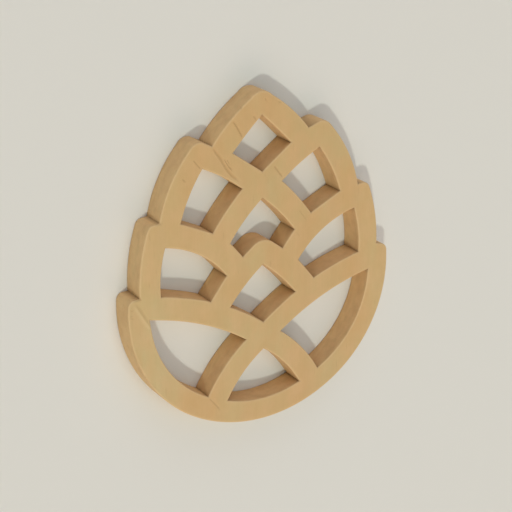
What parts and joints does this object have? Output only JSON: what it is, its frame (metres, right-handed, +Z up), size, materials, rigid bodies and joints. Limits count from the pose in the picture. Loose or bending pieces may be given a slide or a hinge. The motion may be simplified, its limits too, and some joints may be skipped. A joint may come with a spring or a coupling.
{
  "type": "pine cone wall plaque",
  "caption": "Flat pierced wooden pine cone panel for a wall: crossing curved bars draw the overlapping scales inside a scalloped rim, with a plain flat back.",
  "frame": {"origin": "on the flat back face, on the centre line, at the middle of the crossing of bars below the top opening", "axes": "+Z up toward the tip, +X to the right as seen from the front, +Y into the wall; the front faces -Y"},
  "size_m": [0.2004, 0.018, 0.2307],
  "materials": {
    "wood": "light brown close-grained wood, sanded, matt"
  },
  "bodies": {
    "root": {"pine_cone_panel": "wood"}
  },
  "joints": []
}
